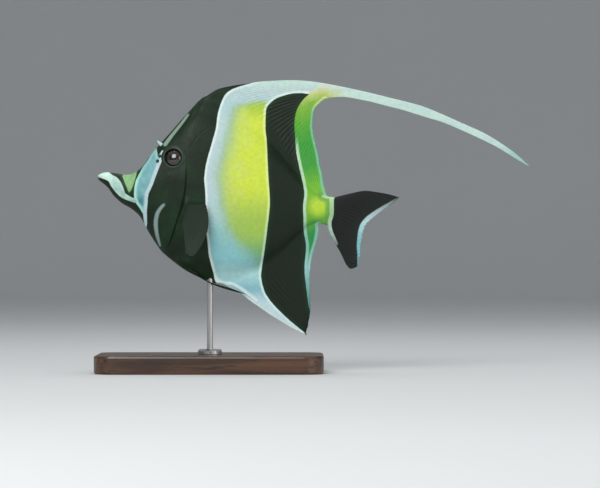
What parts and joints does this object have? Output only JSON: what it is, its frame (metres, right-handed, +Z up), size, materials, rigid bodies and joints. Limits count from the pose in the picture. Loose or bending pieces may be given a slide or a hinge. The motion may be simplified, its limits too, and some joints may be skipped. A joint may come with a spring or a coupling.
{
  "type": "moorish idol fish model",
  "caption": "Still, life-size moorish idol fish with a tall banded body, tube snout, long dorsal streamer and rayed fins, held over a flat base by a short rod.",
  "frame": {"origin": "middle of the stand base's underside, on the rod's axis", "axes": "+Z up, head toward -X, the fish's left side faces -Y"},
  "size_m": [0.286, 0.084, 0.1934],
  "materials": {
    "skin_black": "painted skin, near black with a faint green cast, satin",
    "skin_white": "painted skin, bluish white, satin",
    "skin_yellow": "painted skin, lemon yellow between black bands, satin",
    "fin_pale": "rayed membrane, white, yellow and black as the bands run, satin",
    "fin_dark": "rayed membrane, black with pale edges, satin",
    "eye": "dark glassy eye, high gloss",
    "horn": "pale bony spur, satin",
    "stand_wood": "dark walnut, satin varnish",
    "stand_steel": "brushed stainless steel"
  },
  "bodies": {
    "root": {"snout": "skin_white", "lower_jaw": "skin_black", "head": "skin_black", "gill_cover_left": "skin_black", "gill_cover_right": "skin_black", "trunk": "skin_yellow", "tail_base": "skin_yellow", "dorsal_fin": "fin_pale", "dorsal_streamer_base": "fin_pale", "dorsal_streamer_tip": "fin_pale", "anal_fin": "fin_dark", "caudal_fin": "fin_dark", "pectoral_fin_left": "fin_dark", "pectoral_fin_right": "fin_dark", "pelvic_fin_left": "fin_dark", "pelvic_fin_right": "fin_dark", "eye_left": "eye", "eye_right": "eye", "horn_left": "horn", "horn_right": "horn", "stand_base": "stand_wood", "stand_collar": "stand_steel", "stand_rod": "stand_steel"}
  },
  "joints": []
}
